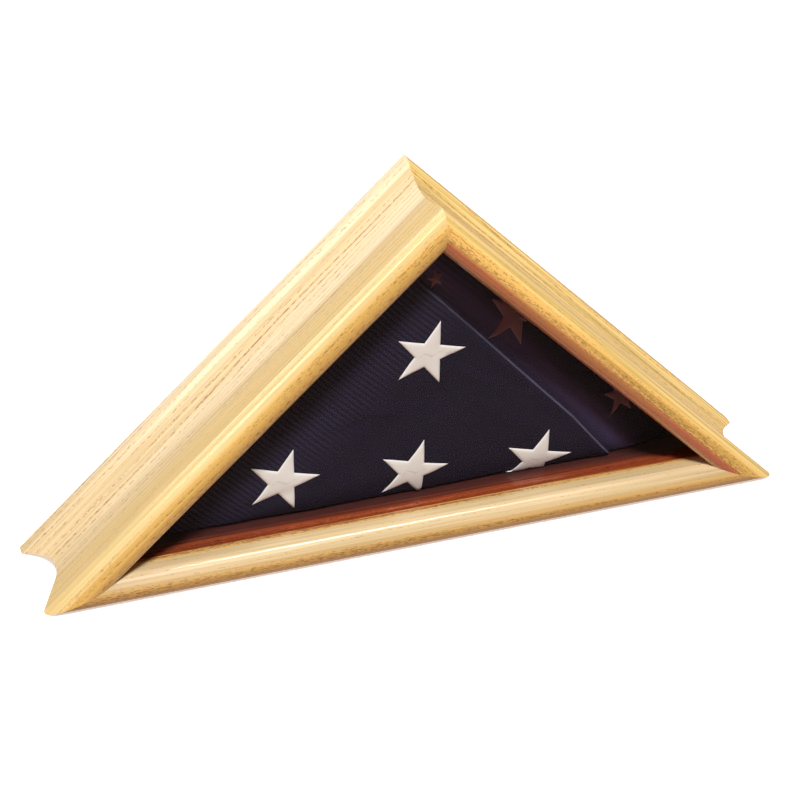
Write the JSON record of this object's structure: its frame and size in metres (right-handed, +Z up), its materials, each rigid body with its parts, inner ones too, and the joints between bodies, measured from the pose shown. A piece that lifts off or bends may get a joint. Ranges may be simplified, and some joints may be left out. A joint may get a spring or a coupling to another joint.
{
  "type": "folded flag display case",
  "caption": "Triangular mitred oak display case with a glazed front, a hinged back panel and a folded flag inside.",
  "frame": {"origin": "bottom centre of the case: on the surface it stands on, midway across its width and its depth", "axes": "+X across the width to the right as seen from the front, +Y from the glass towards the back panel, +Z up to the apex"},
  "size_m": [0.66, 0.1035, 0.33],
  "materials": {
    "oak": "clear satin lacquer on light golden oak",
    "spline_ply": "raw plywood",
    "back_panel": "satin oak veneer",
    "glass": "clear float glass",
    "brass": "lightly brushed",
    "steel": "zinc plated",
    "magnet": "matt ferrite",
    "flag_cloth": "woven navy cotton",
    "star_thread": "white embroidery"
  },
  "bodies": {
    "case": {"left_rail": "oak", "right_rail": "oak", "base_rail": "oak", "apex_spline": "spline_ply", "left_spline": "spline_ply", "right_spline": "spline_ply", "glass_pane": "glass", "left_stop": "oak", "right_stop": "oak", "base_stop": "oak", "stop_brads": "steel", "left_rail_leaf": "brass", "right_rail_leaf": "brass", "left_hinge_pin": "brass", "right_hinge_pin": "brass", "rail_leaf_screws": "brass", "catch_block": "oak", "magnet_cup": "steel", "magnet": "magnet", "folded_flag": "flag_cloth", "flag_stars": "star_thread"},
    "back": {"back_door": "back_panel", "left_door_leaf": "brass", "right_door_leaf": "brass", "door_leaf_screws": "brass", "door_knob": "brass", "knob_screw": "steel", "strike_plate": "steel", "strike_screw": "steel"}
  },
  "joints": [
    {"name": "back_hinge", "type": "hinge", "parent": "case", "child": "back", "pos_m": [0, 0.04905, 0.0188], "axis": [-1, 0, 0], "range_deg": [0, 90]}
  ]
}
